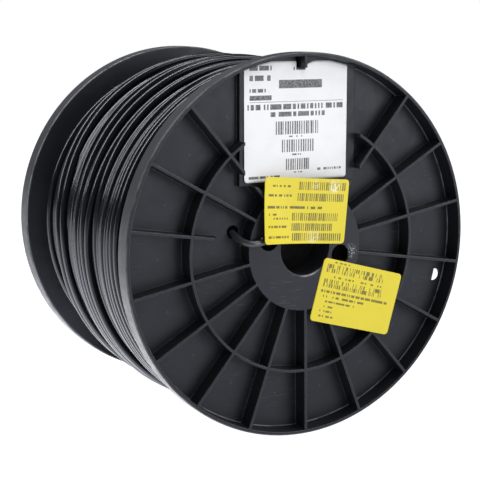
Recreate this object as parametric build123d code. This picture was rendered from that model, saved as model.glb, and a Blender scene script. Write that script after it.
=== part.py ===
from build123d import *
import os
from math import cos, degrees, pi, radians, sin, tan

# Plastic cable reel standing on its rims, full of round data cable.
# Millimetres. The origin is the centre of the near end face, Y runs into the reel
# along its axis, X is to the right of that face and Z is up.
# Angles on an end face are in degrees from straight down, turning towards +X.

# Reel as a whole
flange_radius = 177.8
reel_width = 283.0
overrun = 5.0

# Flange moulding
recess_depth = 16.5
floor_thickness = 2.6
rim_thickness = 3.4
rim_draft = 1.2
rim_edge_bevel = 1.2
rim_back_round = 2.2
rib_thickness = 2.6
rib_positions = 18
first_rib_angle = 0.9
bare_positions = (8, 10)
stub_position = 9
stub_turn = -0.6
stub_length = 10.6
short_position = 13
short_rib_gap = 9.3
short_rib_taper = 10.0
ring_rib_share = 0.654
ring_rib_thickness = 2.4
hub_radius = 58.5
hub_plate_thickness = 3.0
hub_wall_thickness = 3.0

# Spindle bore with its sleeve, and the two driving holes in the hub plate
bore_radius = 26.0
bore_sleeve_thickness = 3.5
bore_sleeve_reach = 12.9
drive_hole_radius = 9.6
drive_hole_circle = 39.1
drive_hole_angle = 75.8

# Holes in the flange floor for the two ends of the cable
tail_hole_radius = 6.0
tail_hole_gap = 2.7
tail_hole_angle = 255.5
start_hole_radius = 6.0
start_hole_gap = 3.1
start_hole_angle = 75.0

# Raised pad that the white label is stuck on, with a notch round the stub of a rib
pad_face_depth = 11.2
pad_left = 62.4
pad_right = 58.2
pad_hub_gap = 0.3
notch_left = 4.8
notch_right = 4.8
notch_clearance = 1.0

# Barrel between the flanges, located by a spigot on each flange
barrel_radius = 60.0
barrel_wall = 3.0
spigot_clearance = 0.2
spigot_length = 12.0
spigot_wall = 3.0

# Cable and its winding
cable_diameter = 6.4
winding_inset = 3.6
winding_clearance = 0.25
turn_bulge_share = 0.3
# How far each turn lies below the full radius, in cable diameters, from the near end
turn_drop_shares = (
    1.50, 1.20, 1.00, 0.85, 0.70, 0.55, 0.45, 0.35, 0.30, 0.35,
    0.80, 0.90, 0.20, 0.00, 0.15, 0.75, 0.20, 0.05, 0.50, 0.15,
    0.10, 0.60, 0.50, 0.25, 0.20, 0.30, 0.45, 0.65, 0.90, 1.20,
    1.60, 2.00, 1.70, 1.80, 2.00, 2.30, 2.70, 3.00,
)

# Inner end of the cable, from behind the floor over the hub into the left driving hole:
# two places measured from the middle of the tail hole, then two from the driving hole's
tail_start = (0.0, 17.6, -0.6)
tail_rise = (-0.9, -4.8, -9.4)
tail_fall = (-2.9, -4.6, -0.3)
tail_end = (0.7, 10.5, 0.3)
tail_bend_share = 0.45

# Labels
label_thickness = 0.3
label_gap = 0.05
white_label_left = 58.1
white_label_width = 107.2
white_label_top_gap = 4.8
white_label_hub_gap = 2.9
white_label_corner = 3.0
white_label_rim_gap = 1.0
yellow_label_width = 90.0
yellow_label_height = 60.0
yellow_label_corner = 3.5
lower_label_x = 56.4
lower_label_z = -51.7
lower_label_turn = -15.5
upper_label_x = -0.8
upper_label_z = 34.2
upper_label_turn = -4.9
lift_direction = 209.0
lift_start = 4.4
lift_radius = 118.0

flange_width = recess_depth + floor_thickness
rim_inner_radius = flange_radius - rim_thickness
rim_foot_radius = rim_inner_radius - rim_draft
stub_inner_radius = rim_inner_radius - stub_length
ring_rib_radius = ring_rib_share * flange_radius
bore_sleeve_length = flange_width + bore_sleeve_reach
tail_hole_circle = barrel_radius + tail_hole_gap + tail_hole_radius
short_rib_inner_radius = tail_hole_circle + tail_hole_radius + short_rib_gap
start_hole_circle = rim_foot_radius - start_hole_gap - start_hole_radius
pad_bottom = hub_radius + pad_hub_gap
white_label_bottom = pad_bottom + white_label_hub_gap
white_label_height = rim_inner_radius - white_label_top_gap - white_label_bottom
winding_radius = flange_radius - winding_inset
winding_start = flange_width + winding_clearance
winding_width = reel_width - 2 * winding_start


def face_point(radius, angle):
    """Place on an end face at a radius and an angle from straight down."""
    return radius * sin(radians(angle)), -radius * cos(radians(angle))


def tail_route():
    """Points of the cable's inner end, out of its hole and into the driving hole."""
    points = []
    for circle, angle, offsets in (
        (tail_hole_circle, tail_hole_angle, (tail_start, tail_rise)),
        (drive_hole_circle, drive_hole_angle + 180, (tail_fall, tail_end)),
    ):
        x, z = face_point(circle, angle)
        for across, along, upward in offsets:
            points.append((x + across, along, z + upward))
    return points


def rod(radius, start, length, place=(0, 0)):
    """Round bar along +Y from start, centred at a place on the end face."""
    x, z = place
    return extrude(Plane(origin=(x, start, z), x_dir=(1, 0, 0), z_dir=(0, 1, 0)) * Circle(radius), length)


def box_between(low, high):
    """Box from its low corner to its high corner."""
    size = [end - begin for begin, end in zip(low, high)]
    return Pos(*low) * Box(*size, align=(Align.MIN, Align.MIN, Align.MIN))


def flange_shell():
    """Hub plate, hub wall, floor, rim, bore sleeve and barrel spigot as one turned section."""
    hub_wall_inner = hub_radius - hub_wall_thickness
    sleeve_outer = bore_radius + bore_sleeve_thickness
    spigot_outer = barrel_radius - barrel_wall - spigot_clearance
    spigot_inner = spigot_outer - spigot_wall
    outline = Polyline(
        (
            (bore_radius, 0),
            (hub_radius, 0),
            (hub_radius, recess_depth),
            (rim_foot_radius, recess_depth),
            (rim_inner_radius, 0),
            (flange_radius - rim_edge_bevel, 0),
            (flange_radius, rim_edge_bevel),
            (flange_radius, flange_width),
            (spigot_outer, flange_width),
            (spigot_outer, flange_width + spigot_length),
            (spigot_inner, flange_width + spigot_length),
            (spigot_inner, flange_width),
            (hub_wall_inner, recess_depth),
            (hub_wall_inner, hub_plate_thickness),
            (sleeve_outer, hub_plate_thickness),
            (sleeve_outer, bore_sleeve_length),
            (bore_radius, bore_sleeve_length),
        ),
        close=True,
    )
    section = make_face(outline)
    back_corner = section.vertices().sort_by_distance((flange_radius, flange_width))[0]
    return revolve(fillet(back_corner, rim_back_round), Axis.Y)


def radial_rib(position):
    """Rib at one of the positions round the hub, from the hub wall to the rim."""
    inner_radius = hub_radius - hub_wall_thickness / 2
    taper = 0
    angle = first_rib_angle + position * 360 / rib_positions
    if position == stub_position:
        inner_radius = stub_inner_radius
        angle = angle + stub_turn
    if position == short_position:
        inner_radius = short_rib_inner_radius
        taper = short_rib_taper
    outer_radius = flange_radius - rim_thickness / 2
    foot = recess_depth + floor_thickness / 2
    side = Plane(origin=(-rib_thickness / 2, 0, 0), x_dir=(0, 0, -1), z_dir=(1, 0, 0))
    outline = Polyline(
        (inner_radius + taper, 0),
        (outer_radius, 0),
        (outer_radius, foot),
        (inner_radius, foot),
        close=True,
    )
    rib = extrude(side * make_face(outline), rib_thickness)
    return Rot(0, -angle, 0) * rib


def rib_work():
    """All radial ribs and the ring rib, left off above the label pad."""
    foot = recess_depth + floor_thickness / 2
    inner_ring = ring_rib_radius - ring_rib_thickness / 2
    outer_ring = ring_rib_radius + ring_rib_thickness / 2
    ribs = rod(outer_ring, 0, foot) - rod(inner_ring, -overrun, foot + 2 * overrun)
    moulded = [position for position in range(rib_positions) if position not in bare_positions]
    for position in moulded:
        if position != stub_position:
            ribs = ribs + radial_rib(position)
    bare = box_between(
        (-pad_left, -overrun, pad_bottom),
        (pad_right, foot + overrun, flange_radius),
    )
    return ribs - bare + radial_rib(stub_position)


def label_pad():
    """Pad that stands on the floor between the hub and the rim, with its notch."""
    foot = recess_depth + floor_thickness / 2
    pad = box_between((-pad_left, pad_face_depth, pad_bottom), (pad_right, foot, flange_radius))
    return (pad & rod(flange_radius - rim_thickness / 2, 0, flange_width)) - notch_space()


def notch_space():
    """Space cut round the rib stub, out of the pad and out of the label on it."""
    return box_between(
        (-notch_left, -overrun, stub_inner_radius - notch_clearance),
        (notch_right, recess_depth, flange_radius),
    )


def flange():
    """Flange moulding with its outer face on the end plane."""
    made = flange_shell() + rib_work() + label_pad()
    for turn in (drive_hole_angle, drive_hole_angle + 180):
        place = face_point(drive_hole_circle, turn)
        made = made - rod(drive_hole_radius, -overrun, hub_plate_thickness + 2 * overrun, place)
    through = flange_width + 2 * overrun
    made = made - rod(tail_hole_radius, -overrun, through, face_point(tail_hole_circle, tail_hole_angle))
    return made - rod(start_hole_radius, -overrun, through, face_point(start_hole_circle, start_hole_angle))


def barrel():
    """Tube that the cable is wound on, butted between the two flanges."""
    length = reel_width - 2 * flange_width
    wall = rod(barrel_radius, flange_width, length)
    return wall - rod(barrel_radius - barrel_wall, flange_width - overrun, length + 2 * overrun)


def cable_winding():
    """Wound cable as one turned solid whose outside rises and falls turn by turn."""
    pitch = winding_width / len(turn_drop_shares)
    bulge = turn_bulge_share * cable_diameter
    bore = barrel_radius + winding_clearance
    edges = []
    here = None
    for index, drop in enumerate(turn_drop_shares):
        radius = winding_radius - drop * cable_diameter
        begin = winding_start + index * pitch
        foot = (radius - bulge, begin)
        if here is None:
            edges.append(Line((bore, begin), foot))
        elif here != foot:
            edges.append(Line(here, foot))
        here = (radius - bulge, begin + pitch)
        edges.append(ThreePointArc(foot, (radius, begin + pitch / 2), here))
    edges.append(Line(here, (bore, here[1])))
    edges.append(Line((bore, here[1]), (bore, winding_start)))
    return revolve(make_face(Wire(edges)), Axis.Y)


def bend_radii(points):
    """Radius of the arc at each inner point: a share of the shorter run beside it."""
    radii = []
    for before, point, after in zip(points, points[1:], points[2:]):
        arriving = Vector(*point) - Vector(*before)
        leaving = Vector(*after) - Vector(*point)
        turn = radians(arriving.get_angle(leaving))
        radii.append(tail_bend_share * min(arriving.length, leaving.length) / tan(turn / 2))
    return radii


def cable_tail():
    """End of the cable that comes out through the floor and goes into the hub."""
    points = tail_route()
    radii = bend_radii(points)
    print("tail bend radii", [round(radius, 1) for radius in radii])
    route = FilletPolyline(*points, radius=radii)
    made = sweep(Plane(origin=route @ 0, z_dir=route % 0) * Circle(cable_diameter / 2), path=route)
    expected = pi * (cable_diameter / 2) ** 2 * route.length
    print("tail length", round(route.length, 1), "volume share", round(made.volume / expected, 4))
    return made


def label_outline(x, z, turn, width, height, corner, depth, thickness):
    """Flat label with round corners, its back at a depth, standing out towards -Y."""
    across = (cos(radians(turn)), 0, sin(radians(turn)))
    face = Plane(origin=(x, depth, z), x_dir=across, z_dir=(0, -1, 0))
    return extrude(face * RectangleRounded(width, height, corner), thickness)


def white_label():
    """Label on the pad, trimmed to the rim and round the notch."""
    x = white_label_width / 2 - white_label_left
    z = white_label_bottom + white_label_height / 2
    sheet = label_outline(
        x, z, 0, white_label_width, white_label_height, white_label_corner, pad_face_depth, label_thickness
    )
    return (sheet & rod(rim_foot_radius - white_label_rim_gap, 0, flange_width)) - notch_space()


def yellow_label_lower():
    """Label that lies flat across the hub plate and the tops of the ribs."""
    return label_outline(
        lower_label_x,
        lower_label_z,
        lower_label_turn,
        yellow_label_width,
        yellow_label_height,
        yellow_label_corner,
        0,
        label_thickness,
    )


def yellow_label_upper():
    """Label on the hub plate whose lower left corner is lifted over the cable."""
    towards = (cos(radians(lift_direction)), 0, sin(radians(lift_direction)))
    reach = yellow_label_width
    begin = (upper_label_x + lift_start * towards[0], -label_gap, upper_label_z + lift_start * towards[2])
    side = Plane(origin=begin, x_dir=towards, z_dir=(towards[2], 0, -towards[0]))
    angle = degrees(reach / lift_radius)
    inside = lift_radius - label_thickness
    flat = make_face(Polyline((-reach, 0), (0, 0), (0, label_thickness), (-reach, label_thickness), close=True))
    swept_back = CenterArc((0, lift_radius), lift_radius, -90, angle)
    swept_front = CenterArc((0, lift_radius), inside, -90, angle)
    bent = make_face(
        Wire(
            [
                swept_back,
                Line(swept_back @ 1, swept_front @ 1),
                swept_front,
                Line(swept_front @ 0, swept_back @ 0),
            ]
        )
    )
    ribbon = extrude(side * flat, reach, both=True) + extrude(side * bent, reach, both=True)
    outline = label_outline(
        upper_label_x,
        upper_label_z,
        upper_label_turn,
        yellow_label_width,
        yellow_label_height,
        yellow_label_corner,
        0,
        reach,
    )
    return ribbon & outline


os.makedirs("parts", exist_ok=True)
far_place = Pos(0, reel_width, 0) * Rot(180, 0, 0)
pieces = {
    "near_flange": flange(),
    "far_flange": far_place * flange(),
    "barrel": barrel(),
    "cable_winding": cable_winding(),
    "cable_tail": cable_tail(),
    "white_label": white_label(),
    "yellow_label_upper": yellow_label_upper(),
    "yellow_label_lower": yellow_label_lower(),
}
for name, shape in pieces.items():
    solids = shape.solids()
    print(name, "solids", len(solids), "volume", round(sum(solid.volume for solid in solids)))
    export_step(Compound(children=solids), f"parts/{name}.step")
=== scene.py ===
import bpy
import numpy as np
from mathutils import Matrix, Vector


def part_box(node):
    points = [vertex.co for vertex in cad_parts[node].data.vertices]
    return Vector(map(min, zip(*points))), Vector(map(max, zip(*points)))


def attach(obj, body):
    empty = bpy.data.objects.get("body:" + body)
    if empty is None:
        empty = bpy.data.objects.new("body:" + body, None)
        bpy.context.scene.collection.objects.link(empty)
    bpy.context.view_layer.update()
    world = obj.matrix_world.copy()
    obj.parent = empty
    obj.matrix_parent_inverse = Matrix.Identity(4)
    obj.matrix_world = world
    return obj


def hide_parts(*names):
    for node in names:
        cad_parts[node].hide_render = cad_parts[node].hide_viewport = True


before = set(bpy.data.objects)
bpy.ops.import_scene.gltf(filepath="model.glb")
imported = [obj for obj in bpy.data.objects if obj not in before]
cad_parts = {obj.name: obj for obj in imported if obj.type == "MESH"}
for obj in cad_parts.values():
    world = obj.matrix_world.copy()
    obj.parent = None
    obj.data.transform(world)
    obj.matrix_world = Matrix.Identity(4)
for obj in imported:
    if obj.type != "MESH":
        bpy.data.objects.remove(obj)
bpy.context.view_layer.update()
print("frame loaded")

# Lengths that the rest is worked out from, in metres, read from the frame
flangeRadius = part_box("near_flange")[1][0]
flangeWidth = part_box("barrel")[0][1]
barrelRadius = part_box("barrel")[1][0]
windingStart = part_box("cable_winding")[0][1]
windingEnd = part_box("cable_winding")[1][1]
cableDiameter = 0.0064

# Camera at the photograph's place, in degrees and in flange radii from the near face's middle
camera = dict(
    azimuth=-27.757,
    elevation=9.801,
    roll=0.062,
    distance=6.6256,
    across=-0.33665,
    upward=0.03975,
    focalPixels=1284.24,
    imagePixels=480,
    sensor=36.0,
    clipEnd=100,
)


def placeCamera(facts):
    # back points from the reel to the camera; right and up follow from it and the roll
    azimuth, elevation, roll = np.radians([facts["azimuth"], facts["elevation"], facts["roll"]])
    flat = np.cos(elevation)
    back = Vector((np.sin(azimuth) * flat, -np.cos(azimuth) * flat, np.sin(elevation)))
    level = Vector((np.cos(azimuth), np.sin(azimuth), 0))
    raised = back.cross(level)
    right = level * np.cos(roll) + raised * np.sin(roll)
    up = raised * np.cos(roll) - level * np.sin(roll)
    place = (back * facts["distance"] + right * facts["across"] + up * facts["upward"]) * flangeRadius
    data = bpy.data.cameras.new("photo_camera")
    data.sensor_width = facts["sensor"]
    data.lens = facts["focalPixels"] / facts["imagePixels"] * facts["sensor"]
    data.clip_end = facts["clipEnd"]
    made = bpy.data.objects.new("photo_camera", data)
    bpy.context.scene.collection.objects.link(made)
    turn = Matrix((right, up, back)).transposed().to_4x4()
    made.matrix_world = Matrix.Translation(place) @ turn
    bpy.context.scene.camera = made


placeCamera(camera)
print("camera placed")

# Inner end of the cable: the route's points are those of the CAD tube, in metres
tail = dict(
    points=[
        (-0.0665, 0.0176, 0.0166),
        (-0.0674, -0.0048, 0.0078),
        (-0.0408, -0.0046, 0.0093),
        (-0.0372, 0.0105, 0.0099),
    ],
    order=3,
    length=0.0567,
    steps=24,
    sides=6,
)


def cableTail(facts):
    data = bpy.data.curves.new("tail", "CURVE")
    data.dimensions = "3D"
    spline = data.splines.new("NURBS")
    spline.points.add(len(facts["points"]) - 1)
    for point, place in zip(spline.points, facts["points"]):
        point.co = (*place, 1)
        point.radius = cableDiameter / 2
    spline.order_u = facts["order"]
    spline.use_endpoint_u = True
    data.resolution_u = facts["steps"]
    data.bevel_depth = 1
    data.bevel_resolution = facts["sides"]
    data.use_fill_caps = True
    made = bpy.data.objects.new("tail", data)
    bpy.context.scene.collection.objects.link(made)
    return made


tailPiece = cableTail(tail)
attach(tailPiece, "root")
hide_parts("cable_tail")
print("cord laid")

# Mesh helpers


def meshPiece(name, points, faces, uv=None):
    # points is an array of places; faces is a list of index lists; uv gives one pair for each point
    data = bpy.data.meshes.new(name)
    data.from_pydata(points.tolist(), [], faces)
    data.polygons.foreach_set("use_smooth", np.ones(len(data.polygons), bool))
    if uv is not None:
        layer = data.uv_layers.new(name="UVMap")
        corners = np.empty(len(data.loops), np.int32)
        data.loops.foreach_get("vertex_index", corners)
        layer.data.foreach_set("uv", uv[corners].astype(np.float32).ravel())
    data.update()
    made = bpy.data.objects.new(name, data)
    bpy.context.scene.collection.objects.link(made)
    return made


def gridFaces(rows, columns, joinRows=False, joinColumns=False):
    # quads between neighbours of a rows by columns grid, joined round where asked
    row = np.arange(rows if joinRows else rows - 1)[:, None]
    column = np.arange(columns if joinColumns else columns - 1)[None, :]
    nextRow = (row + 1) % rows
    nextColumn = (column + 1) % columns
    corners = [row * columns + column, nextRow * columns + column]
    corners += [nextRow * columns + nextColumn, row * columns + nextColumn]
    return np.stack(np.broadcast_arrays(*corners), axis=-1).reshape(-1, 4)


def unit(vectors):
    # each vector divided by its own length
    return vectors / np.linalg.norm(vectors, axis=-1, keepdims=True)


# Cable wound on the reel: an outer layer with gaps in it, over a full layer that shows in the gaps
winding = dict(
    # middle of each outer turn along the reel in flange radii, over the top and low on the left side,
    # and how deep it lies in cable widths, with what it sinks further low on the left
    turnsAbove=[
        0.133, 0.170, 0.220, 0.290, 0.324, 0.358, 0.393, 0.430, 0.466, 0.583, 0.628,
        0.706, 0.750, 0.800, 0.840, 0.898, 1.062, 1.160, 1.238, 1.375, 1.440,
    ],
    turnsBelow=[
        0.125, 0.168, 0.216, 0.297, 0.332, 0.367, 0.402, 0.437, 0.474, 0.598, 0.634,
        0.680, 0.716, 0.752, 0.790, 0.846, 0.990, 1.030, 1.085, 1.400, 1.446,
    ],
    drops=[
        0.35, 0.30, 0.15, 0.08, 0.00, 0.00, 0.30, 0.00, 0.45, 0.05, 0.25,
        0.00, 0.65, 0.00, 0.60, 0.20, 0.00, 0.00, 0.55, 0.15, 0.75,
    ],
    sinks=[
        0.00, 0.00, 0.00, 0.00, 0.00, 0.00, -0.30, 0.00, -0.22, 0.90, -0.17,
        0.10, -0.62, 0.00, -0.45, 0.40, 0.15, 0.00, 0.45, 0.00, 0.30,
    ],
    driftFrom=125.0,
    driftTo=195.0,
    # outer radius over the top and under the bottom, in flange radii, by place along the reel
    along=[0.11, 0.25, 0.434, 0.524, 0.617, 0.717, 0.829, 0.955, 1.089, 1.25, 1.38, 1.48],
    overTop=[0.925, 0.938, 0.944, 0.947, 0.951, 0.970, 0.971, 0.965, 0.974, 0.945, 0.915, 0.872],
    underBottom=[0.935, 0.955, 0.974, 0.982, 0.987, 0.990, 0.990, 0.986, 0.978, 0.952, 0.920, 0.876],
    sagAngle=262.0,
    # the near turns ride up on the right, where they show in the start hole
    riseAngle=-8.0,
    riseSize=0.040,
    riseReach=0.10,
    riseSharpness=3,
    startAngle=60.0,
    shift=0.40,
    nearStray=0.12,
    farStray=0.40,
    farFrom=0.95,
    # strays that all turns share, in cable widths, and the share of a turn's own that lifts it
    commonStray=0.25,
    liftShare=0.3,
    commonWaves=3,
    ownWaves=4,
    reachShare=0.993,
    stepsPerTurn=180,
    sides=16,
    seed=5,
)


def smoothNoise(rng, count, waves, strength):
    # a wavering that repeats after count steps: a sum of sines, each of random size over the root of
    # its wave count and of random start
    angle = np.linspace(0, 2 * np.pi, count, endpoint=False)
    total = np.zeros(count)
    for wave in range(1, waves + 1):
        total += rng.normal() * np.sin(wave * angle + rng.uniform(0, 2 * np.pi)) / wave**0.5
    return total * strength / max(np.abs(total).max(), 1e-9)


def windingRadius(facts, along, angle):
    # outer radius at a place along the reel and an angle: the top profile passes into the bottom one
    # as the cosine of the angle from the lowest point, and the near end rises about the rise angle
    top = np.interp(along, facts["along"], facts["overTop"])
    bottom = np.interp(along, facts["along"], facts["underBottom"])
    low = 0.5 + 0.5 * np.cos(angle - np.radians(facts["sagAngle"]))
    facing = np.clip(np.cos(angle - np.radians(facts["riseAngle"])), 0, 1)
    facing = facing ** facts["riseSharpness"]
    nearness = np.clip(1 - (along - facts["along"][0]) / facts["riseReach"], 0, 1)
    return top + (bottom - top) * low + facts["riseSize"] * facing * nearness


def smoothStep(value, low, high):
    # s * s * (3 - 2 s), where s is how far the value is from low to high, held between 0 and 1
    share = np.clip((value - low) / (high - low), 0, 1)
    return share * share * (3 - 2 * share)


def woundTurns(facts):
    # One tube for the whole outer layer. Its line turns about the reel's axis at a turn's upper place,
    # drifts to the turn's lower place down the left side, and passes to the next turn's upper place in
    # the last part of each turn, all by smooth steps. Sums of sines let it stray and lift a little.
    rng = np.random.default_rng(facts["seed"])
    steps = facts["stepsPerTurn"]
    above = np.array(facts["turnsAbove"])[:, None]
    below = np.array(facts["turnsBelow"])[:, None]
    drops = np.array(facts["drops"])[:, None]
    sinks = np.array(facts["sinks"])[:, None]
    turns = len(above)
    part = np.arange(steps)[None, :] / steps
    degrees = facts["startAngle"] + 360 * part
    drift = smoothStep(degrees, facts["driftFrom"], facts["driftTo"])
    rise = smoothStep(part, 1 - facts["shift"], 1)
    nextAbove = np.concatenate([above[1:], below[-1:]])
    nextDrop = np.concatenate([drops[1:], drops[-1:]])
    along = above + (below - above) * drift + (nextAbove - below) * rise
    drop = drops + sinks * drift + (nextDrop - drops - sinks) * rise
    # neighbours waver together, and each turn a little on its own, more at the loose far end
    cableShare = cableDiameter / flangeRadius
    common = smoothNoise(rng, steps, facts["commonWaves"], facts["commonStray"] * cableShare)
    loose = np.where(above[:, 0] > facts["farFrom"], facts["farStray"], facts["nearStray"]) * cableShare
    waves = facts["ownWaves"]
    own = np.stack([smoothNoise(rng, steps, waves, size) for size in loose])
    lift = np.stack([smoothNoise(rng, steps, waves, facts["liftShare"] * size) for size in loose])
    fade = np.sin(np.pi * part) ** 0.5
    along = along + (common[None, :] + own) * fade
    angle = 2 * np.pi * np.arange(turns)[:, None] + np.radians(degrees)
    outer = windingRadius(facts, along, angle) - drop * cableShare + lift * fade
    radius = outer * flangeRadius - cableDiameter / 2
    radius = np.minimum(radius, flangeRadius * facts["reachShare"] - cableDiameter / 2)
    along = np.clip(along * flangeRadius, windingStart + cableDiameter / 2, windingEnd - cableDiameter / 2)
    angle, radius, along = angle.ravel(), radius.ravel(), along.ravel()
    path = np.stack([radius * np.cos(angle), along, radius * np.sin(angle)], axis=1)
    return tubePiece("cable_turns", path, cableDiameter / 2, facts["sides"])


def tubePiece(name, path, radius, sides):
    # A circle of the radius is set about each point of the path, square to the path's direction.
    # Its first side points away from the reel's axis. The ends are closed by one face each.
    direction = unit(np.gradient(path, axis=0))
    away = unit(path * np.array([1.0, 0.0, 1.0]))
    beside = unit(np.cross(direction, away))
    away = np.cross(beside, direction)
    turn = np.linspace(0, 2 * np.pi, sides, endpoint=False)
    ring = np.cos(turn)[None, :, None] * away[:, None, :] + np.sin(turn)[None, :, None] * beside[:, None, :]
    points = (path[:, None, :] + radius * ring).reshape(-1, 3)
    faces = gridFaces(len(path), sides, joinColumns=True).tolist()
    faces.append(list(range(sides)))
    faces.append(list(range(len(points) - 1, len(points) - 1 - sides, -1)))
    length = np.concatenate([[0], np.cumsum(np.linalg.norm(np.diff(path, axis=0), axis=1))])
    uv = np.stack(np.broadcast_arrays(length[:, None], turn[None, :] / (2 * np.pi)), axis=-1).reshape(-1, 2)
    return faceOutwards(meshPiece(name, points, faces, uv))


def faceOutwards(made):
    # a closed mesh whose signed volume is below zero has its faces turned round
    data = made.data
    data.calc_loop_triangles()
    corners = np.empty(len(data.loop_triangles) * 3, np.int32)
    data.loop_triangles.foreach_get("vertices", corners)
    places = np.empty(len(data.vertices) * 3, np.float32)
    data.vertices.foreach_get("co", places)
    triangle = places.reshape(-1, 3)[corners].reshape(-1, 3, 3).astype(float)
    volume = np.einsum("ij,ij->i", triangle[:, 0], np.cross(triangle[:, 1], triangle[:, 2])).sum() / 6
    if volume < 0:
        data.flip_normals()
    return made


# The layer below it: depths in cable widths, and the gap to the barrel in metres
under = dict(
    below=1.02,
    scallop=0.30,
    turns=38,
    pointsPerTurn=6,
    around=144,
    barrelGap=0.0003,
)


def underLayer(facts):
    # The layer below: a surface of revolution whose outer radius is the outer layer's less a share of
    # the cable, with a round bulge for each turn, closed at both ends down to the barrel
    along = np.linspace(windingStart, windingEnd, facts["turns"] * facts["pointsPerTurn"] + 1)
    angle = np.linspace(0, 2 * np.pi, facts["around"], endpoint=False)
    share = along[:, None] / flangeRadius
    outer = windingRadius(winding, share, angle[None, :]) * flangeRadius
    phase = (along - windingStart) / (windingEnd - windingStart) * facts["turns"]
    bulge = np.abs(np.sin(np.pi * phase))[:, None] * facts["scallop"] * cableDiameter
    radius = outer - cableDiameter * (facts["below"] + facts["scallop"]) + bulge
    ends = np.full((1, facts["around"]), barrelRadius + facts["barrelGap"])
    radius = np.concatenate([ends, radius, ends])
    along = np.concatenate([along[:1], along, along[-1:]])
    across = radius * np.cos(angle)[None, :]
    upward = radius * np.sin(angle)[None, :]
    points = np.stack(np.broadcast_arrays(across, along[:, None], upward), axis=-1).reshape(-1, 3)
    faces = gridFaces(len(along), facts["around"], joinRows=True, joinColumns=True).tolist()
    return faceOutwards(meshPiece("cable_under_layer", points, faces))


turnsPiece = woundTurns(winding)
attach(turnsPiece, "root")
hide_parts("cable_winding")
underPiece = underLayer(under)
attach(underPiece, "root")
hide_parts("cable_winding")
print("cable wound")

# Labels, each a thin sheet, in metres and degrees

# where a round corner gets its extra lines, in shares of its radius
bendShares = np.array([0.03, 0.12, 0.28, 0.5, 0.75])

whiteLabel = dict(
    left=-0.0581,
    width=0.1072,
    bottom=0.0617,
    height=0.1079,
    corner=0.003,
    rim=0.1722,
    notchLeft=-0.0048,
    notchRight=0.0048,
    notchBottom=0.1628,
    tornReach=0.0120,
    tornDrop=0.0042,
    face=0.0111,
    wave=0.0007,
    # ripple of two sines multiplied: radians across and start; radians across and up, and start
    ripple=(7.3, 0.6, 2.9, 4.2, 0.8),
    seat=0.0002,
    hair=1e-5,
    columns=81,
    rows=61,
    thickness=0.00025,
)


def cornerInset(distance, half, corner):
    # how far a round corner draws the edge in, at a distance from the middle of a side of this half length
    past = np.clip(np.abs(distance) - (half - corner), 0, corner)
    return corner - np.sqrt(corner**2 - past**2)


def sheetPiece(name, across, upward, depth, uv, thickness):
    # a sheet from grids of its places across, up and in depth, facing out of the reel; Solidify
    # gives it its thickness
    rows, columns = across.shape
    points = np.stack([across, depth, upward], axis=-1).reshape(-1, 3)
    faces = gridFaces(rows, columns)[:, ::-1].tolist()
    made = meshPiece(name, points, faces, uv.reshape(-1, 2))
    solid = made.modifiers.new("thickness", "SOLIDIFY")
    solid.thickness = thickness
    solid.offset = 0
    return made


def whiteSheet(facts):
    # Columns run from the lower edge to the upper one, which is the lower of the label's own edge
    # and the rim's circle, drops under the notch, and rises again right of it as a square of the way.
    # The sheet lies at the face, rippled the more the lower it is.
    middle = facts["left"] + facts["width"] / 2
    sides = [facts["left"], facts["left"] + facts["width"]]
    own = np.linspace(sides[0], sides[1], facts["columns"])
    bend = facts["corner"] * bendShares
    edges = [facts["notchLeft"], facts["notchRight"]]
    beyond = [edges[0] - facts["hair"], edges[1] + facts["hair"]]
    at = np.unique(np.concatenate([own, sides[0] + bend, sides[1] - bend, edges, beyond]))
    inset = cornerInset(at - middle, facts["width"] / 2, facts["corner"])
    low = facts["bottom"] + inset
    high = facts["bottom"] + facts["height"] - inset
    high = np.minimum(high, np.sqrt(facts["rim"] ** 2 - at**2))
    inNotch = (at >= edges[0]) & (at <= edges[1])
    high = np.where(inNotch, np.minimum(high, facts["notchBottom"]), high)
    beside = np.clip((at - edges[1]) / facts["tornReach"], 0, 1)
    high = np.where(at > edges[1], high - facts["tornDrop"] * (1 - beside) ** 2, high)
    share = np.linspace(0, 1, facts["rows"])[:, None]
    upward = low[None, :] + (high - low)[None, :] * share
    across = np.broadcast_to(at[None, :], upward.shape)
    u = (across - facts["left"]) / facts["width"]
    v = (upward - facts["bottom"]) / facts["height"]
    first, firstStart, second, secondUp, secondStart = facts["ripple"]
    ripple = np.sin(first * u + firstStart) * np.sin(second * u + secondUp * v + secondStart)
    ripple = ripple * (1 - v) ** 2
    depth = facts["face"] - facts["wave"] * (ripple + 1.0) * (1 - v) - facts["seat"]
    uv = np.stack([u, v], axis=-1)
    return sheetPiece("white_label_sheet", across, upward, depth, uv, facts["thickness"])


# what both yellow labels have in common; the ripple is a sine's radians across and start, then a
# cosine's radians up and across
yellowLabel = dict(
    width=0.090,
    height=0.060,
    corner=0.0035,
    ripple=(9, 1.1, 5, 6),
    columns=91,
    rows=61,
    thickness=0.00025,
)
yellowLower = dict(
    yellowLabel,
    name="yellow_label_lower_sheet",
    across=0.0564,
    upward=-0.0517,
    turn=-15.5,
    face=-0.00018,
    liftFrom=None,
    wave=0.00012,
)
yellowUpper = dict(
    yellowLabel,
    name="yellow_label_upper_sheet",
    across=-0.0008,
    upward=0.0342,
    turn=-4.9,
    face=-0.00016,
    liftFrom=0.0044,
    liftTurn=209.0,
    liftRadius=0.118,
    wave=0.0001,
)


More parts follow.
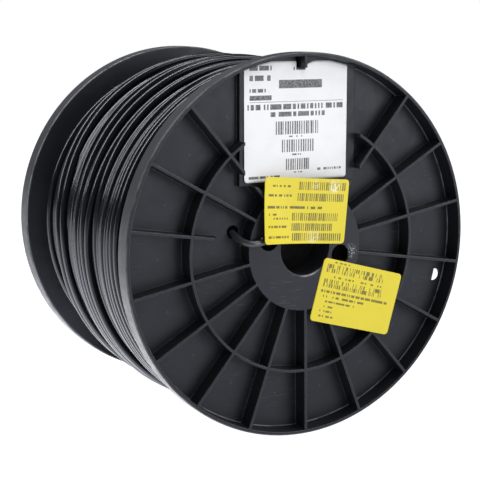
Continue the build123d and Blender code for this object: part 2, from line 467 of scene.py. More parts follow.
def yellowSheet(facts):
    # A rectangle with round corners, turned about its middle. Past a line across it the sheet leaves
    # the hub on a circle of the lift radius, as far out as that circle stands over the line. A sine
    # times a cosine ripples it.
    v = np.linspace(0, 1, facts["rows"])
    bend = facts["corner"] / facts["height"] * bendShares
    v = np.unique(np.concatenate([v, bend, 1 - bend]))
    u = np.linspace(-0.5, 0.5, facts["columns"])
    level = (v - 0.5) * facts["height"]
    half = facts["width"] / 2 - cornerInset(level, facts["height"] / 2, facts["corner"])
    localAcross = 2 * u[None, :] * half[:, None]
    localUp = np.broadcast_to(level[:, None], localAcross.shape)
    turn = np.radians(facts["turn"])
    across = facts["across"] + localAcross * np.cos(turn) - localUp * np.sin(turn)
    upward = facts["upward"] + localAcross * np.sin(turn) + localUp * np.cos(turn)
    share = np.stack([localAcross / facts["width"] + 0.5, localUp / facts["height"] + 0.5], axis=-1)
    first, firstStart, secondUp, second = facts["ripple"]
    ripple = np.sin(first * share[..., 0] + firstStart)
    ripple = ripple * np.cos(secondUp * share[..., 1] + second * share[..., 0])
    depth = facts["face"] - facts["wave"] * (0.5 + 0.5 * ripple)
    if facts["liftFrom"] is not None:
        lift = np.radians(facts["liftTurn"])
        past = (across - facts["across"]) * np.cos(lift) + (upward - facts["upward"]) * np.sin(lift)
        past = np.clip(past - facts["liftFrom"], 0, None)
        depth = depth - (facts["liftRadius"] - np.sqrt(facts["liftRadius"] ** 2 - past**2))
    return sheetPiece(facts["name"], across, upward, depth, share, facts["thickness"])


whitePiece = whiteSheet(whiteLabel)
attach(whitePiece, "root")
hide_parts("white_label")
lowerPiece = yellowSheet(yellowLower)
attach(lowerPiece, "root")
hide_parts("yellow_label_lower")
upperPiece = yellowSheet(yellowUpper)
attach(upperPiece, "root")
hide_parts("yellow_label_upper")
print("labels laid")

# Shader helpers


def addNode(tree, kind, **settings):
    node = tree.nodes.new(kind)
    for key, value in settings.items():
        setattr(node, key, value)
    return node


def feed(tree, socket, value):
    # a socket is linked and anything else becomes the value on the socket
    if isinstance(value, bpy.types.NodeSocket):
        tree.links.new(value, socket)
    else:
        socket.default_value = value


def calc(tree, operation, *values, clamp=False):
    node = addNode(tree, "ShaderNodeMath", operation=operation, use_clamp=clamp)
    for socket, value in zip(node.inputs, values):
        feed(tree, socket, value)
    return node.outputs[0]


def mixColour(tree, share, first, second):
    node = addNode(tree, "ShaderNodeMix", data_type="RGBA")
    feed(tree, node.inputs["Factor"], share)
    feed(tree, node.inputs[6], first)
    feed(tree, node.inputs[7], second)
    return node.outputs[2]


def spread(tree, value, low, high, newLow, newHigh, kind="LINEAR"):
    node = addNode(tree, "ShaderNodeMapRange", interpolation_type=kind)
    for socket, item in zip(node.inputs[:5], (value, low, high, newLow, newHigh)):
        feed(tree, socket, item)
    return node.outputs[0]


def noise(tree, vector, scale, detail=2.0, roughness=0.5):
    node = addNode(tree, "ShaderNodeTexNoise")
    feed(tree, node.inputs["Vector"], vector)
    feed(tree, node.inputs["Scale"], scale)
    feed(tree, node.inputs["Detail"], detail)
    feed(tree, node.inputs["Roughness"], roughness)
    return node.outputs["Fac"]


def placeOf(tree):
    return addNode(tree, "ShaderNodeTexCoord").outputs["Object"]


def partsOf(tree, whole):
    node = addNode(tree, "ShaderNodeSeparateXYZ")
    feed(tree, node.inputs[0], whole)
    return node.outputs


def times(tree, first, *others):
    for other in others:
        first = calc(tree, "MULTIPLY", first, other)
    return first


def spanOf(tree, first, second):
    # the root of the sum of two squares
    squares = calc(tree, "ADD", calc(tree, "POWER", first, 2.0), calc(tree, "POWER", second, 2.0))
    return calc(tree, "SQRT", squares)


def apart(tree, first, second):
    return calc(tree, "ABSOLUTE", calc(tree, "SUBTRACT", first, second))


def nearTo(tree, where, middle, reach, fullShare):
    # 1 near the middle, falling from the full share of the reach to 0 at the reach
    gap = addNode(tree, "ShaderNodeVectorMath", operation="DISTANCE")
    feed(tree, gap.inputs[0], where)
    gap.inputs[1].default_value = middle
    return spread(tree, gap.outputs["Value"], reach * fullShare, reach, 1.0, 0.0)


def stretched(tree, vector, factors, turn=(0, 0, 0)):
    node = addNode(tree, "ShaderNodeMapping")
    feed(tree, node.inputs["Vector"], vector)
    node.inputs["Scale"].default_value = factors
    node.inputs["Rotation"].default_value = turn
    return node.outputs["Vector"]


def newGroup(name, outputs=("Mask",), **inputs):
    # inputs are numbers with a default; outputs are numbers, and a vector if called Normal
    tree = bpy.data.node_groups.new(name, "ShaderNodeTree")
    for label, value in inputs.items():
        socket = tree.interface.new_socket(label, in_out="INPUT", socket_type="NodeSocketFloat")
        socket.default_value = value
    for label in outputs:
        kind = "NodeSocketVector" if label == "Normal" else "NodeSocketFloat"
        tree.interface.new_socket(label, in_out="OUTPUT", socket_type=kind)
    return tree, tree.nodes.new("NodeGroupInput").outputs, tree.nodes.new("NodeGroupOutput").inputs


def addBump(tree, shader, facts, height, under=None):
    bump = addNode(tree, "ShaderNodeBump")
    bump.inputs["Strength"].default_value = facts["bumpStrength"]
    bump.inputs["Distance"].default_value = facts["bumpDepth"]
    feed(tree, bump.inputs["Height"], height)
    if under is not None:
        feed(tree, bump.inputs["Normal"], under)
    feed(tree, shader.inputs["Normal"], bump.outputs["Normal"])


def useGroup(tree, group, **values):
    node = addNode(tree, "ShaderNodeGroup", node_tree=group)
    for label, value in values.items():
        feed(tree, node.inputs[label], value)
    return node.outputs


def edgeWearAndHighlightGroup():
    # rounded normals along every edge, and a broken mask along the edges that paints them paler: rubbed
    # wear and a painted highlight
    tree, start, end = newGroup("edgeWearAndHighlight", ("Mask", "Normal"), Width=0.001, Grain=300.0)
    bevel = addNode(tree, "ShaderNodeBevel", samples=6)
    feed(tree, bevel.inputs["Radius"], start["Width"])
    geometry = addNode(tree, "ShaderNodeNewGeometry")
    dot = addNode(tree, "ShaderNodeVectorMath", operation="DOT_PRODUCT")
    feed(tree, dot.inputs[0], bevel.outputs["Normal"])
    feed(tree, dot.inputs[1], geometry.outputs["Normal"])
    bend = spread(tree, dot.outputs["Value"], 0.99, 0.80, 0.0, 1.0)
    place = placeOf(tree)
    broken = spread(tree, noise(tree, place, start["Grain"], 3.0, 0.6), 0.42, 0.66, 0.15, 1.0)
    feed(tree, end["Mask"], calc(tree, "MULTIPLY", bend, broken, clamp=True))
    feed(tree, end["Normal"], bevel.outputs["Normal"])
    return tree


def scuffGroup():
    # short rub marks: stretched noise in two turned directions, kept only at its peaks
    tree, start, end = newGroup("scuffs", Scale=60.0, Amount=0.5)
    place = placeOf(tree)
    masks = []
    for turn, factors in (((0.2, 0.9, 0.1), (1, 1, 14)), ((0.1, -0.7, 0.4), (1, 1, 18))):
        value = noise(tree, stretched(tree, place, factors, turn), start["Scale"], 2.0, 0.5)
        masks.append(spread(tree, value, 0.66, 0.74, 0.0, 1.0))
    both = calc(tree, "MAXIMUM", masks[0], masks[1])
    patch = spread(tree, noise(tree, place, 14.0, 2.0, 0.5), 0.48, 0.66, 0.0, 1.0)
    both = times(tree, both, patch)
    feed(tree, end["Mask"], calc(tree, "MULTIPLY", both, start["Amount"], clamp=True))
    return tree


def dustGroup():
    # dust lies where a face looks up, thicker in soft patches
    tree, start, end = newGroup("settledDust", Scale=40.0, Amount=0.3)
    place = placeOf(tree)
    facing = partsOf(tree, addNode(tree, "ShaderNodeNewGeometry").outputs["Normal"])
    upward = spread(tree, facing["Z"], 0.15, 0.95, 0.0, 1.0)
    patch = spread(tree, noise(tree, place, start["Scale"], 4.0, 0.65), 0.35, 0.7, 0.2, 1.0)
    lying = times(tree, upward, patch)
    feed(tree, end["Mask"], calc(tree, "MULTIPLY", lying, start["Amount"], clamp=True))
    return tree


def printGroup():
    # Bars or dashes in a box of the label: the box is cut into columns and rows. A dash's cell is inked
    # where its random number is below the ink share, and a code's cell from its left side over a share
    # of its width that the random number gives, both only in the filled part of their row.
    box = dict(Left=0.0, Right=0.0, Bottom=0.0, Top=0.0)
    marks = dict(Bars=20.0, Rows=1.0, Fill=1.0, Ink=0.5, Seed=0.0, Code=0.0)
    tree, start, end = newGroup("printedBox", **box, **marks)
    parts = partsOf(tree, addNode(tree, "ShaderNodeUVMap", uv_map="UVMap").outputs[0])
    shares = []
    inside = None
    for axis, low, high in (("X", "Left", "Right"), ("Y", "Bottom", "Top")):
        width = calc(tree, "SUBTRACT", start[high], start[low])
        share = calc(tree, "DIVIDE", calc(tree, "SUBTRACT", parts[axis], start[low]), width)
        inRange = calc(tree, "LESS_THAN", apart(tree, share, 0.5), 0.5)
        inside = inRange if inside is None else times(tree, inside, inRange)
        shares.append(share)
    columnPlace = times(tree, shares[0], start["Bars"])
    column = calc(tree, "FLOOR", columnPlace)
    rowPlace = times(tree, shares[1], start["Rows"])
    row = calc(tree, "FLOOR", rowPlace)
    filled = calc(tree, "LESS_THAN", calc(tree, "FRACT", rowPlace), start["Fill"])
    cell = addNode(tree, "ShaderNodeCombineXYZ")
    feed(tree, cell.inputs["X"], calc(tree, "ADD", column, 0.5))
    feed(tree, cell.inputs["Y"], calc(tree, "ADD", row, 0.5))
    feed(tree, cell.inputs["Z"], start["Seed"])
    chance = addNode(tree, "ShaderNodeTexWhiteNoise", noise_dimensions="3D")
    feed(tree, chance.inputs["Vector"], cell.outputs[0])
    dash = calc(tree, "LESS_THAN", chance.outputs["Value"], start["Ink"])
    barWidth = spread(tree, chance.outputs["Value"], 0.0, 1.0, 0.30, 0.80)
    bar = calc(tree, "LESS_THAN", calc(tree, "FRACT", columnPlace), barWidth)
    inked = calc(tree, "ADD", dash, times(tree, calc(tree, "SUBTRACT", bar, dash), start["Code"]))
    feed(tree, end["Mask"], times(tree, inked, filled, inside))
    return tree


def streakGroup():
    # noise in distance from the reel's axis, place along it and turn about it, with the turn drawn
    # short, so that the streaks run along the wound cable
    tree, start, end = newGroup("drawnStreaks", Scale=500.0, Draw=0.02)
    parts = partsOf(tree, placeOf(tree))
    reach = spanOf(tree, parts["X"], parts["Z"])
    turn = calc(tree, "ARCTAN2", parts["Z"], times(tree, parts["X"], -1.0))
    place = addNode(tree, "ShaderNodeCombineXYZ")
    feed(tree, place.inputs["X"], reach)
    feed(tree, place.inputs["Y"], parts["Y"])
    feed(tree, place.inputs["Z"], times(tree, turn, start["Draw"]))
    feed(tree, end["Mask"], noise(tree, place.outputs[0], start["Scale"], 2.0, 0.5))
    return tree


edgeWearAndHighlight = edgeWearAndHighlightGroup()
drawnStreaks = streakGroup()
scuffs = scuffGroup()
settledDust = dustGroup()
printedBox = printGroup()


def newMaterial(name, roughness, specular):
    made = bpy.data.materials.new(name)
    made.use_nodes = True
    tree = made.node_tree
    shader = tree.nodes["Principled BSDF"]
    shader.inputs["Roughness"].default_value = roughness
    shader.inputs["Specular IOR Level"].default_value = specular
    return made, tree, shader


reelPlastic = dict(
    base=(0.0085, 0.0089, 0.0108, 1),
    pale=(0.0130, 0.0134, 0.0160, 1),
    # rubbed: the pale colour of scuffs and wear, also used for painted highlights on edges, the floors'
    # corner ring and the rim's corners
    rubbed=(0.130, 0.133, 0.143, 1),
    dust=(0.034, 0.034, 0.038, 1),
    # pale colour of the torn paper residue, also used for the painted highlight at the bore's mouth
    paleResidueAndHighlight=(0.5, 0.5, 0.5, 1),
    shine=(0.84, 0.88, 1.0, 1),
    roughness=0.42,
    roughSpread=0.07,
    specular=0.42,
    # how fine each pattern is over a metre and how strongly it shows; widths and depths in metres
    patchScale=16.0,
    wearScale=55.0,
    tornScale=700.0,
    glossScale=90.0,
    grainScale=1400.0,
    waveScale=34.0,
    grainShare=0.10,
    markHeight=0.5,
    bumpStrength=0.35,
    bumpDepth=0.0006,
    edgeWidth=0.0013,
    edgeGrain=420.0,
    edgeWearAndHighlightShare=0.8,
    scuffScale=55.0,
    scuffAmount=0.55,
    scuffShare=0.5,
    dustScale=45.0,
    dustAmount=0.22,
    dustRoughness=0.5,
    # a painted highlight ring where the floors meet the rim walls, and small round marks on the floors:
    # lengths in metres, the first mark's turn in degrees
    floorDepth=0.0165,
    floorReach=0.0006,
    highlightRingRadius=0.1728,
    highlightRingFrom=0.0002,
    highlightRingTo=0.0008,
    markRadius=0.141,
    markCount=18,
    markTurn=11.0,
    markFrom=0.0012,
    markTo=0.0018,
    markShare=0.12,
    residuePlace=(0.0490, 0.0, -0.0070),
    residueReach=0.0080,
    residueFull=0.5,
    boreWearAndHighlightPlace=(0.0055, 0.0, -0.0256),
    boreWearAndHighlightReach=0.0125,
    boreWearAndHighlightFull=0.4,
    boreWearAndHighlightShare=0.55,
    boreRadius=0.0262,
    boreEdgeFrom=0.0003,
    boreEdgeTo=0.0016,
    boreDepthFrom=0.0006,
    boreDepthTo=0.0024,
    # painted highlights on the rim's corners, measured from the winding, from the rim's edge and from the
    # outer face
    lipFrom=0.0002,
    lipTo=0.0015,
    lipFade=0.0003,
    lipBelow=(0.0018, 0.0014),
    lipHighlightShare=0.75,
    bevelDepth=(0.0016, 0.0011),
    bevelBelow=(0.0014, 0.0010),
    bevelHighlightShare=0.5,
)


def reelMaterial(facts):
    # Moulded plastic: a fine grain, pale flow patches, edges painted paler for wear and a painted
    # highlight, scuffs, dust on upper faces, a painted highlight ring and small round marks on the floors,
    # painted highlights on the rim's corners, and torn paper left beside one hole
    made, tree, shader = newMaterial("reel_plastic_moulded", facts["roughness"], facts["specular"])
    shader.inputs["Specular Tint"].default_value = facts["shine"]
    place = placeOf(tree)
    edges = useGroup(tree, edgeWearAndHighlight, Width=facts["edgeWidth"], Grain=facts["edgeGrain"])
    marks = useGroup(tree, scuffs, Scale=facts["scuffScale"], Amount=facts["scuffAmount"])
    dust = useGroup(tree, settledDust, Scale=facts["dustScale"], Amount=facts["dustAmount"])
    patches = spread(tree, noise(tree, place, facts["patchScale"], 4.0, 0.6), 0.35, 0.7, 0.0, 1.0)
    tint = mixColour(tree, patches, facts["base"], facts["pale"])
    # edges painted paler: rubbed wear and a painted highlight along them
    tint = mixColour(tree, times(tree, edges["Mask"], facts["edgeWearAndHighlightShare"]), tint, facts["rubbed"])
    tint = mixColour(tree, times(tree, marks["Mask"], facts["scuffShare"]), tint, facts["rubbed"])
    tint = mixColour(tree, dust["Mask"], tint, facts["dust"])
    parts = partsOf(tree, place)
    reach = spanOf(tree, parts["X"], parts["Z"])
    middle = (windingStart + windingEnd) / 2
    fromMiddle = apart(tree, parts["Y"], middle)
    fromFloor = apart(tree, fromMiddle, middle - facts["floorDepth"])
    onFloor = calc(tree, "LESS_THAN", fromFloor, facts["floorReach"])
    # painted highlight: a thin pale ring on the floor where it meets the rim wall, also raised a little in
    # the bump
    ring = apart(tree, reach, facts["highlightRingRadius"])
    ring = spread(tree, ring, facts["highlightRingFrom"], facts["highlightRingTo"], 1.0, 0.0, "SMOOTHSTEP")
    ring = times(tree, ring, onFloor)
    turn = calc(tree, "ARCTAN2", parts["Z"], parts["X"])
    step = 2 * np.pi / facts["markCount"]
    sector = calc(tree, "DIVIDE", calc(tree, "SUBTRACT", turn, float(np.radians(facts["markTurn"]))), step)
    offset = calc(tree, "SUBTRACT", calc(tree, "FRACT", calc(tree, "ADD", sector, 40.0)), 0.5)
    sideways = times(tree, offset, facts["markRadius"] * step)
    away = spanOf(tree, sideways, calc(tree, "SUBTRACT", reach, facts["markRadius"]))
    dot = spread(tree, away, facts["markFrom"], facts["markTo"], 1.0, 0.0, "SMOOTHSTEP")
    dot = times(tree, dot, onFloor)
    broken = spread(tree, noise(tree, place, facts["wearScale"], 2.0, 0.5), 0.40, 0.52, 0.25, 1.0)
    # the painted highlight ring and the round marks are painted paler
    drawn = calc(tree, "MAXIMUM", times(tree, ring, broken), times(tree, dot, facts["markShare"]))
    tint = mixColour(tree, drawn, tint, facts["rubbed"])
    # painted highlight: the rim's rounded corner beside the winding is painted paler all the way round
    inward = calc(tree, "SUBTRACT", fromMiddle, middle - flangeWidth)
    lipHighlight = spread(tree, inward, facts["lipFrom"], facts["lipFrom"] + facts["lipFade"], 0.0, 1.0)
    lipHighlightEnd = spread(tree, inward, facts["lipTo"] - facts["lipFade"], facts["lipTo"], 1.0, 0.0)
    outer = [flangeRadius - below for below in facts["lipBelow"]]
    lipHighlight = times(tree, lipHighlight, lipHighlightEnd, spread(tree, reach, *outer, 0.0, facts["lipHighlightShare"]), broken)
    # and a weaker painted highlight on the bevel round each outer face
    outer = [middle - depth for depth in facts["bevelDepth"]]
    bevel = spread(tree, fromMiddle, *outer, 0.0, facts["bevelHighlightShare"])
    outer = [flangeRadius - below for below in facts["bevelBelow"]]
    bevel = times(tree, bevel, spread(tree, reach, *outer, 0.0, 1.0), broken)
    lipHighlight = calc(tree, "MAXIMUM", lipHighlight, bevel)
    tint = mixColour(tree, lipHighlight, tint, facts["rubbed"])
    # the mouth of the bore is painted pale at one place of its edge: wear with a painted highlight
    worn = nearTo(tree, place, facts["boreWearAndHighlightPlace"], facts["boreWearAndHighlightReach"], facts["boreWearAndHighlightFull"])
    edge = apart(tree, reach, facts["boreRadius"])
    edge = spread(tree, edge, facts["boreEdgeFrom"], facts["boreEdgeTo"], facts["boreWearAndHighlightShare"], 0.0)
    shallow = spread(tree, parts["Y"], facts["boreDepthFrom"], facts["boreDepthTo"], 1.0, 0.0)
    tint = mixColour(tree, times(tree, worn, edge, shallow, broken), tint, facts["paleResidueAndHighlight"])
    near = nearTo(tree, place, facts["residuePlace"], facts["residueReach"], facts["residueFull"])
    torn = spread(tree, noise(tree, place, facts["tornScale"], 3.0, 0.7), 0.52, 0.62, 0.0, 1.0)
    tint = mixColour(tree, times(tree, near, torn), tint, facts["paleResidueAndHighlight"])
    feed(tree, shader.inputs["Base Color"], tint)
    least, most = facts["roughness"] - facts["roughSpread"], facts["roughness"] + facts["roughSpread"]
    rough = spread(tree, noise(tree, place, facts["glossScale"], 4.0, 0.6), 0.3, 0.7, least, most)
    hazy = times(tree, dust["Mask"], facts["dustRoughness"])
    feed(tree, shader.inputs["Roughness"], calc(tree, "ADD", rough, hazy, clamp=True))
    grain = times(tree, noise(tree, place, facts["grainScale"], 2.0, 0.5), facts["grainShare"])
    height = calc(tree, "ADD", grain, noise(tree, place, facts["waveScale"], 1.0, 0.4))
    raised = times(tree, calc(tree, "ADD", ring, dot), facts["markHeight"])
    height = calc(tree, "ADD", height, raised)
    addBump(tree, shader, facts, height, edges["Normal"])
    return made


jacket = dict(
    base=(0.0046, 0.0048, 0.0060, 1),
    pale=(0.0085, 0.0088, 0.0105, 1),
    rubbed=(0.05, 0.051, 0.055, 1),
    shine=(0.84, 0.88, 1.0, 1),
    roughness=0.17,
    specular=0.5,
)
# the free end: a paler copy of the jacket, painted lighter to stand in for the light on it, and hazier
tailJacketPaintedLighter = dict(
    base=(0.028, 0.0285, 0.031, 1),
    pale=(0.050, 0.051, 0.055, 1),
    rubbed=(0.14, 0.142, 0.15, 1),
    shine=(1.0, 1.0, 1.0, 1),
    roughness=0.30,
    specular=0.9,
)
# what both ends of the cable have in common
jacketGrain = dict(
    streakScale=520.0,
    draw=0.02,
    rubScale=90.0,
    rubAmount=0.5,
    rubShare=0.4,
    dustScale=70.0,
    dustAmount=0.12,
    dustShare=0.5,
    hazeScale=38.0,
    glossier=0.02,
    hazier=0.03,
    bumpStrength=0.035,
    bumpDepth=0.0002,
)


def jacketMaterial(facts, name):
    # Smooth drawn plastic: long faint streaks along the reel's turns, patches of handling haze and
    # small rubs, over a gloss that changes a little from place to place
    made, tree, shader = newMaterial(name, facts["roughness"], facts["specular"])
    shader.inputs["Specular Tint"].default_value = facts["shine"]
    place = placeOf(tree)
    grain = jacketGrain
    streaks = useGroup(tree, drawnStreaks, Scale=grain["streakScale"], Draw=grain["draw"])["Mask"]
    rubs = useGroup(tree, scuffs, Scale=grain["rubScale"], Amount=grain["rubAmount"])
    dust = useGroup(tree, settledDust, Scale=grain["dustScale"], Amount=grain["dustAmount"])
    patches = spread(tree, noise(tree, place, grain["hazeScale"], 5.0, 0.62), 0.38, 0.7, 0.0, 1.0)
    tint = mixColour(tree, times(tree, patches, streaks), facts["base"], facts["pale"])
    tint = mixColour(tree, times(tree, rubs["Mask"], grain["rubShare"]), tint, facts["rubbed"])
    tint = mixColour(tree, times(tree, dust["Mask"], grain["dustShare"]), tint, facts["rubbed"])
    feed(tree, shader.inputs["Base Color"], tint)
    least, most = facts["roughness"] - grain["glossier"], facts["roughness"] + grain["hazier"]
    feed(tree, shader.inputs["Roughness"], spread(tree, streaks, 0.3, 0.7, least, most))
    addBump(tree, shader, grain, streaks)
    return made


# Boxes of print: left, right, bottom, top, bars, rows, filled share of a row, inked share, seed,
# and 1 at the end for a code of bars
whitePrint = dict(
    paper=(0.83, 0.83, 0.85, 1),
    stained=(0.72, 0.72, 0.74, 1),
    ink=(0.070, 0.070, 0.075, 1),
    roughness=0.42,
    boxes=[
        (0.05, 0.26, 0.925, 0.965, 16, 1, 1, 0.72, 1),
        (0.05, 0.25, 0.840, 0.885, 12, 1, 1, 0.75, 2),
        (0.05, 0.23, 0.745, 0.775, 14, 1, 1, 0.62, 3),
        (0.05, 0.26, 0.680, 0.720, 12, 1, 1, 0.80, 4),
        (0.33, 0.75, 0.775, 0.845, 9, 1, 1, 0.93, 5),
        (0.05, 0.96, 0.662, 0.666, 1, 1, 1, 1.0, 6),
        (0.03, 0.96, 0.600, 0.645, 60, 1, 1, 0.66, 7),
        (0.25, 0.78, 0.540, 0.580, 34, 1, 1, 0.66, 8),
        (0.30, 0.73, 0.390, 0.500, 19, 1, 1, 0.52, 9, 1),
        (0.36, 0.68, 0.240, 0.345, 14, 1, 1, 0.52, 10, 1),
        (0.40, 0.64, 0.088, 0.184, 11, 1, 1, 0.52, 11, 1),
        (0.43, 0.57, 0.366, 0.378, 12, 1, 1, 0.6, 12),
        (0.46, 0.57, 0.212, 0.226, 10, 1, 1, 0.6, 13),
        (0.46, 0.56, 0.062, 0.074, 10, 1, 1, 0.6, 14),
        (0.04, 0.34, 0.028, 0.050, 26, 1, 1, 0.6, 15),
        (0.71, 0.96, 0.075, 0.095, 24, 1, 1, 0.6, 16),
        (0.47, 0.60, 0.925, 0.950, 10, 1, 1, 0.6, 17),
    ],
)
upperPrint = dict(
    # each worn spot: its middle across and up in shares of the label, its reach in metres and its strength
    worn=[(0.83, 0.885, 0.0075, 1.0), (0.60, 0.90, 0.0050, 0.5), (0.62, 0.10, 0.0085, 0.45)],
    bare=(0.86, 0.82, 0.55, 1),
    size=(0.090, 0.060, 1.0),
    paper=(0.72, 0.60, 0.030, 1),
    stained=(0.66, 0.53, 0.027, 1),
    ink=(0.13, 0.106, 0.024, 1),
    roughness=0.36,
    boxes=[
        (0.05, 0.31, 0.855, 0.885, 22, 1, 1, 0.6, 21),
        (0.41, 0.97, 0.820, 0.945, 23, 1, 1, 0.50, 22, 1),
        (0.05, 0.33, 0.710, 0.745, 22, 1, 1, 0.6, 23),
        (0.40, 0.96, 0.650, 0.770, 24, 1, 1, 0.50, 24, 1),
        (0.04, 0.70, 0.530, 0.570, 48, 1, 1, 0.66, 25),
        (0.06, 0.17, 0.425, 0.455, 9, 1, 1, 0.6, 26),
        (0.09, 0.30, 0.365, 0.395, 14, 1, 1, 0.55, 27),
        (0.35, 0.91, 0.350, 0.470, 23, 1, 1, 0.50, 28, 1),
        (0.04, 0.31, 0.240, 0.275, 22, 1, 1, 0.62, 29),
        (0.35, 0.85, 0.195, 0.310, 21, 1, 1, 0.50, 30, 1),
        (0.05, 0.32, 0.085, 0.120, 24, 1, 1, 0.62, 31),
        (0.36, 0.96, 0.045, 0.160, 24, 1, 1, 0.50, 32, 1),
    ],
)
lowerPrint = dict(
    paper=(0.72, 0.60, 0.030, 1),
    stained=(0.66, 0.53, 0.027, 1),
    ink=(0.15, 0.122, 0.026, 1),
    roughness=0.36,
    boxes=[
        (0.14, 0.34, 0.945, 0.970, 14, 1, 1, 0.6, 41),
        (0.05, 0.79, 0.790, 0.925, 84, 2, 0.94, 0.45, 42),
        (0.06, 0.78, 0.715, 0.745, 40, 1, 1, 0.45, 43),
        (0.05, 0.80, 0.555, 0.690, 84, 2, 0.94, 0.45, 44),
        (0.05, 0.90, 0.470, 0.510, 62, 1, 1, 0.68, 45),
        (0.09, 0.62, 0.395, 0.430, 40, 1, 1, 0.64, 46),
        (0.09, 0.50, 0.320, 0.350, 30, 1, 1, 0.64, 47),
        (0.09, 0.24, 0.240, 0.270, 12, 1, 1, 0.6, 48),
        (0.09, 0.24, 0.165, 0.195, 12, 1, 1, 0.6, 49),
        (0.09, 0.30, 0.085, 0.115, 14, 1, 1, 0.5, 50),
        (0.72, 0.80, 0.100, 0.130, 4, 1, 1, 0.5, 51),
    ],
)
# what the three labels' papers have in common
paperGrain = dict(
    specular=0.45,
    soilScale=42.0,
    soilShare=0.6,
    fadeScale=900.0,
    fadeShare=0.72,
    wornScale=420.0,
    wornFull=0.45,
    glossScale=260.0,
    glossier=0.05,
    duller=0.08,
    fibreScale=1600.0,
    bumpStrength=0.15,
    bumpDepth=0.0002,
)


def paperMaterial(facts, name):
    # Coated paper: fibres and faint soiling in the sheet, printed boxes over it with patchy ink, and
    # worn spots where the print is gone
    grain = paperGrain
    made, tree, shader = newMaterial(name, facts["roughness"], grain["specular"])
    place = placeOf(tree)
    soil = noise(tree, place, grain["soilScale"], 5.0, 0.65)
    soil = spread(tree, soil, 0.45, 0.8, 0.0, grain["soilShare"])
    tint = mixColour(tree, soil, facts["paper"], facts["stained"])
    labels = ("Left", "Right", "Bottom", "Top", "Bars", "Rows", "Fill", "Ink", "Seed", "Code")
    inked = None
    for box in facts["boxes"]:
        values = {label: float(value) for label, value in zip(labels, box)}
        mask = useGroup(tree, printedBox, **values)["Mask"]
        inked = mask if inked is None else calc(tree, "MAXIMUM", inked, mask)
    faded = noise(tree, place, grain["fadeScale"], 2.0, 0.6)
    faded = spread(tree, faded, 0.3, 0.6, grain["fadeShare"], 1.0)
    tint = mixColour(tree, times(tree, inked, faded), tint, facts["ink"])
    for across, upward, reach, strength in facts.get("worn", []):
        ragged = spread(tree, noise(tree, place, grain["wornScale"], 3.0, 0.65), 0.42, 0.60, 0.0, strength)
        sheet = addNode(tree, "ShaderNodeUVMap", uv_map="UVMap").outputs[0]
        middle = (across * facts["size"][0], upward * facts["size"][1], 0.0)
        near = nearTo(tree, stretched(tree, sheet, facts["size"]), middle, reach, grain["wornFull"])
        tint = mixColour(tree, times(tree, near, ragged), tint, facts["bare"])
    feed(tree, shader.inputs["Base Color"], tint)
    least, most = facts["roughness"] - grain["glossier"], facts["roughness"] + grain["duller"]
    rough = spread(tree, noise(tree, place, grain["glossScale"], 3.0, 0.6), 0.3, 0.7, least, most)
    feed(tree, shader.inputs["Roughness"], rough)
    addBump(tree, shader, grain, noise(tree, place, grain["fibreScale"], 3.0, 0.6))
    return made


def dress(piece, material):
    piece.data.materials.clear()
    piece.data.materials.append(material)


reelPaint = reelMaterial(reelPlastic)
for node in ("near_flange", "far_flange", "barrel"):
    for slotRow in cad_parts[node].material_slots:
        slotRow.material = reelPaint
jacketPaint = jacketMaterial(jacket, "cable_jacket_black")
dress(turnsPiece, jacketPaint)
# the free end's jacket is painted lighter in place of light falling on it
dress(tailPiece, jacketMaterial(tailJacketPaintedLighter, "cable_jacket_tail_painted_lighter"))
dress(underPiece, jacketPaint)
dress(whitePiece, paperMaterial(whitePrint, "white_label_paper"))
dress(upperPiece, paperMaterial(upperPrint, "yellow_label_paper_upper"))
dress(lowerPiece, paperMaterial(lowerPrint, "yellow_label_paper_lower"))
print("materials made")

# Floor and light
studio = dict(
    floorHalf=9.0,
    floorColour=(0.20, 0.20, 0.20, 1),
    floorRoughness=0.9,
    cloudScale=1.5,
    cloudShare=0.985,
    floorGlow=0.99,
    # light that the floor throws at the reel in front of it, behind it and right under it, and where
    # along the reel, in metres, the one passes into the other and the one behind fades
    glowInFront=(0.72, 0.74, 0.78, 1),
    glowBehind=(3.10, 3.12, 3.20, 1),
    shadowedGlowUnder=(0.10, 0.10, 0.11, 1),
    behindFrom=0.0,
    behindTo=0.08,
    fadeFrom=0.26,
    fadeTo=0.66,
    fadeShare=0.25,
    # the painted shadow under the reel, in the light the floor throws: its middle, its half sides and the
    # shares of them where it ends
    shadeMiddle=(0.03, 0.22),
    shadeHalf=(0.15, 0.22),
    shadeFrom=0.78,
    shadeTo=1.02,
    roomStrength=0.06,
    # each light is a panel: its place, the way its long side runs, its two sides and its power;
    # one that is not mirrored is left out of reflections
    lights=[
        dict(name="arch", place=(-0.75, 0.55, 1.35), along=(0.85, 0, 0.53), sides=(3.0, 0.30), power=46.0),
        dict(
            name="fill", place=(-0.60, -2.80, 2.00), along=(1, 0, 0), sides=(1.5, 1.5), power=33.0,
            mirrored=False,
        ),
        dict(name="front_right", place=(1.90, -2.90, 0.75), along=(1, 0, 0), sides=(2.2, 2.2), power=48.0),
        dict(
            name="top_right", place=(1.25, -0.55, 1.75), along=(0.8, 0.15, -0.6), sides=(2.6, 1.0),
            power=32.0,
        ),
        dict(name="backdrop", place=(-0.30, 2.60, 1.20), along=(1, 0, 0), sides=(3.0, 2.4), power=7.0),
    ],
    aim=(0.0, 0.14, 0.0),
)


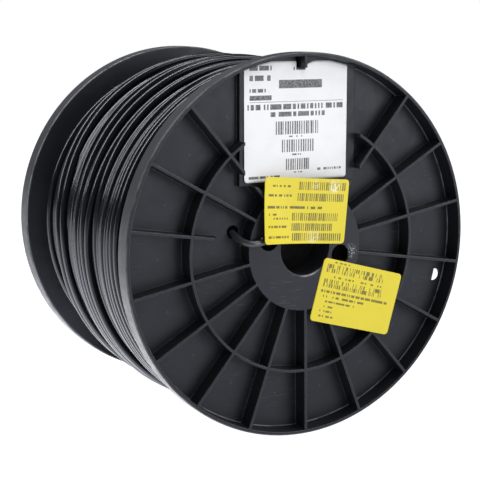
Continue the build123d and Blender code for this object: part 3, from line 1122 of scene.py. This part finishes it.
def layFloor(facts):
    # a flat square that faces up, at the lowest point of the flanges; it glows and lights the reel as a
    # lamp would
    side = np.linspace(-facts["floorHalf"], facts["floorHalf"], 3)
    across, along = np.meshgrid(side, side)
    points = np.stack([across, along, np.full(across.shape, -flangeRadius)], axis=-1).reshape(-1, 3)
    made = meshPiece("floor", points, gridFaces(3, 3)[:, ::-1].tolist())
    paint, tree, shader = newMaterial("floor_paint", facts["floorRoughness"], 0.0)
    place = placeOf(tree)
    cloud = noise(tree, place, facts["cloudScale"], 2.0, 0.5)
    shade = tuple(part * facts["cloudShare"] for part in facts["floorColour"][:3]) + (1,)
    feed(tree, shader.inputs["Base Color"], mixColour(tree, cloud, facts["floorColour"], shade))
    # white to the camera; for the light thrown at the reel dimmer in front, bright behind, and a painted
    # shadow where x and y, from the patch's middle and over its half sides, make a short vector
    seen = addNode(tree, "ShaderNodeLightPath").outputs["Is Camera Ray"]
    parts = partsOf(tree, place)
    behind = spread(tree, parts["Y"], facts["behindFrom"], facts["behindTo"], 0.0, 1.0)
    fade = spread(tree, parts["Y"], facts["fadeFrom"], facts["fadeTo"], 1.0, facts["fadeShare"])
    behind = times(tree, behind, fade)
    middleAcross, middleAlong = facts["shadeMiddle"]
    halfAcross, halfAlong = facts["shadeHalf"]
    offset = addNode(tree, "ShaderNodeVectorMath", operation="MULTIPLY_ADD")
    feed(tree, offset.inputs[0], place)
    offset.inputs[1].default_value = (1 / halfAcross, 1 / halfAlong, 0)
    offset.inputs[2].default_value = (-middleAcross / halfAcross, -middleAlong / halfAlong, 0)
    distance = addNode(tree, "ShaderNodeVectorMath", operation="LENGTH")
    feed(tree, distance.inputs[0], offset.outputs["Vector"])
    outside = spread(tree, distance.outputs["Value"], facts["shadeFrom"], facts["shadeTo"], 0.0, 1.0)
    far = mixColour(tree, outside, facts["shadowedGlowUnder"], facts["glowBehind"])
    thrown = mixColour(tree, behind, facts["glowInFront"], far)
    feed(tree, shader.inputs["Emission Color"], mixColour(tree, seen, thrown, (1, 1, 1, 1)))
    shader.inputs["Emission Strength"].default_value = facts["floorGlow"]
    dress(made, paint)


def hangLights(facts):
    for lamp in facts["lights"]:
        data = bpy.data.lights.new(lamp["name"], "AREA")
        data.shape = "RECTANGLE"
        data.size, data.size_y = lamp["sides"]
        data.energy = lamp["power"]
        made = bpy.data.objects.new(lamp["name"], data)
        made.visible_camera = False
        made.visible_glossy = lamp.get("mirrored", True)
        bpy.context.scene.collection.objects.link(made)
        back = (Vector(lamp["place"]) - Vector(facts["aim"])).normalized()
        along = Vector(lamp["along"])
        along = (along - back * along.dot(back)).normalized()
        turn = Matrix((along, back.cross(along), back)).transposed().to_4x4()
        made.matrix_world = Matrix.Translation(lamp["place"]) @ turn
    # the room is dim for the light it gives, and white where the camera looks past the floor
    world = bpy.data.worlds.new("studio")
    world.use_nodes = True
    tree = world.node_tree
    back = tree.nodes["Background"]
    seen = addNode(tree, "ShaderNodeLightPath").outputs["Is Camera Ray"]
    feed(tree, back.inputs["Strength"], spread(tree, seen, 0.0, 1.0, facts["roomStrength"], 1.0))
    back.inputs["Color"].default_value = (1, 1, 1, 1)
    bpy.context.scene.world = world
    bpy.context.scene.view_settings.view_transform = "Standard"


layFloor(studio)
hangLights(studio)
print("floor and lights set")
